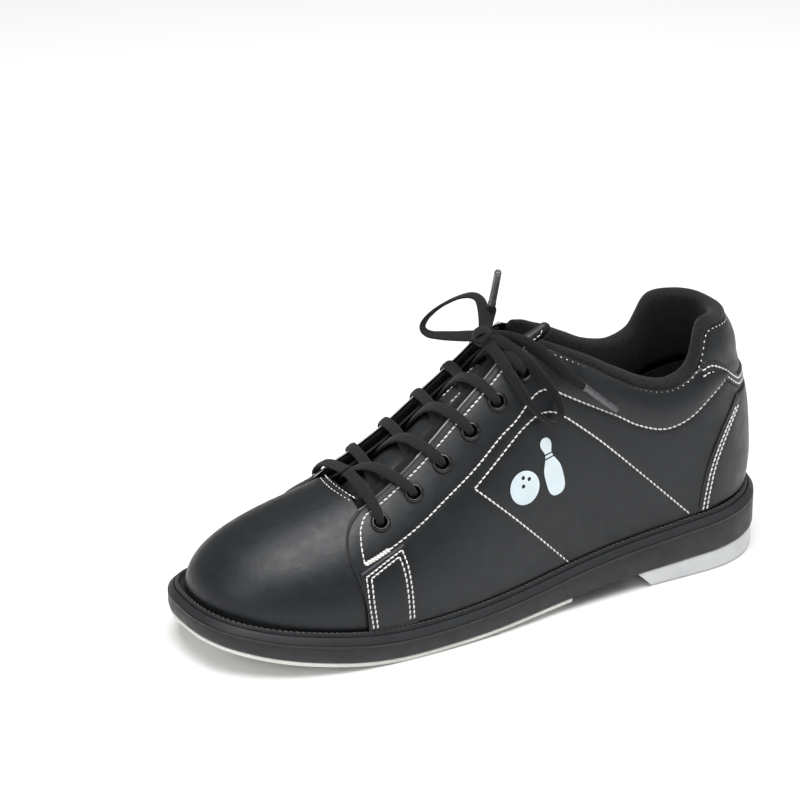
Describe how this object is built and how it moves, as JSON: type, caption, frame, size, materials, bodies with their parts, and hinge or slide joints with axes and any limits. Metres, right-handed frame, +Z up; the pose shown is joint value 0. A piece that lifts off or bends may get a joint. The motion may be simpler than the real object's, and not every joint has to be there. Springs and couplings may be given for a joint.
{
  "type": "bowling shoe",
  "caption": "Lace-up left bowling shoe with a leather upper, padded tongue and collar, stitched welt, slide sole and rubber heel block.",
  "frame": {"origin": "on the floor, under the middle of the outsole's box", "axes": "+X towards the toe, +Y towards the outer (lateral) side, +Z up"},
  "size_m": [0.3001, 0.1022, 0.1646],
  "materials": {
    "upper_leather": "semi-matte black full grain leather with white stitching",
    "overlay_leather": "semi-matte black leather, double white stitching",
    "tongue_leather": "soft semi-matte black leather",
    "lining_textile": "black brushed textile",
    "padding_foam": "soft foam, covered",
    "stiffener_board": "pressed fibre, covered",
    "footbed_textile": "black textile over foam",
    "shank_steel": "spring steel strip",
    "welt_rubber": "black moulded rubber, semi-matte",
    "midsole_rubber": "black moulded rubber, semi-matte",
    "slide_sole_fibre": "off-white buffed slide leather",
    "heel_rubber": "light grey non-marking rubber",
    "eyelet_metal": "glossy black enamel",
    "shoelace_textile": "black braided polyester",
    "aglet_plastic": "dark translucent plastic",
    "print_ink": "pale printed film"
  },
  "bodies": {
    "shoe": {"vamp": "upper_leather", "quarter_lateral": "upper_leather", "quarter_medial": "upper_leather", "heel_tab": "upper_leather", "side_patch_lateral": "overlay_leather", "side_patch_medial": "overlay_leather", "heel_patch": "overlay_leather", "heel_band": "overlay_leather", "vamp_lining": "lining_textile", "quarter_lining_lateral": "lining_textile", "quarter_lining_medial": "lining_textile", "collar_lining": "lining_textile", "collar_foam": "padding_foam", "toe_puff": "stiffener_board", "heel_counter": "stiffener_board", "facing_stiffener_lateral": "stiffener_board", "facing_stiffener_medial": "stiffener_board", "insole_board": "stiffener_board", "bottom_filler": "stiffener_board", "footbed": "footbed_textile", "shank": "shank_steel", "welt": "welt_rubber", "midsole": "midsole_rubber", "slide_sole": "slide_sole_fibre", "heel_block": "heel_rubber", "eyelets_lateral": "eyelet_metal", "eyelets_medial": "eyelet_metal", "shoelace": "shoelace_textile", "lace_knot": "shoelace_textile", "bow_loop_medial": "shoelace_textile", "bow_loop_lateral": "shoelace_textile", "lace_end_short": "shoelace_textile", "lace_end_long": "shoelace_textile", "aglet_short": "aglet_plastic", "aglet_long": "aglet_plastic", "emblem_print": "print_ink"},
    "tongue": {"tongue_outer": "tongue_leather", "tongue_foam": "padding_foam", "tongue_lining": "lining_textile", "lace_keeper": "tongue_leather"}
  },
  "joints": [
    {"name": "tongue_hinge", "type": "hinge", "parent": "shoe", "child": "tongue", "pos_m": [0.069, 0, 0.061], "axis": [0, 1, 0], "range_deg": [-12, 0], "stiffness_Nm_per_rad": 0.4}
  ]
}
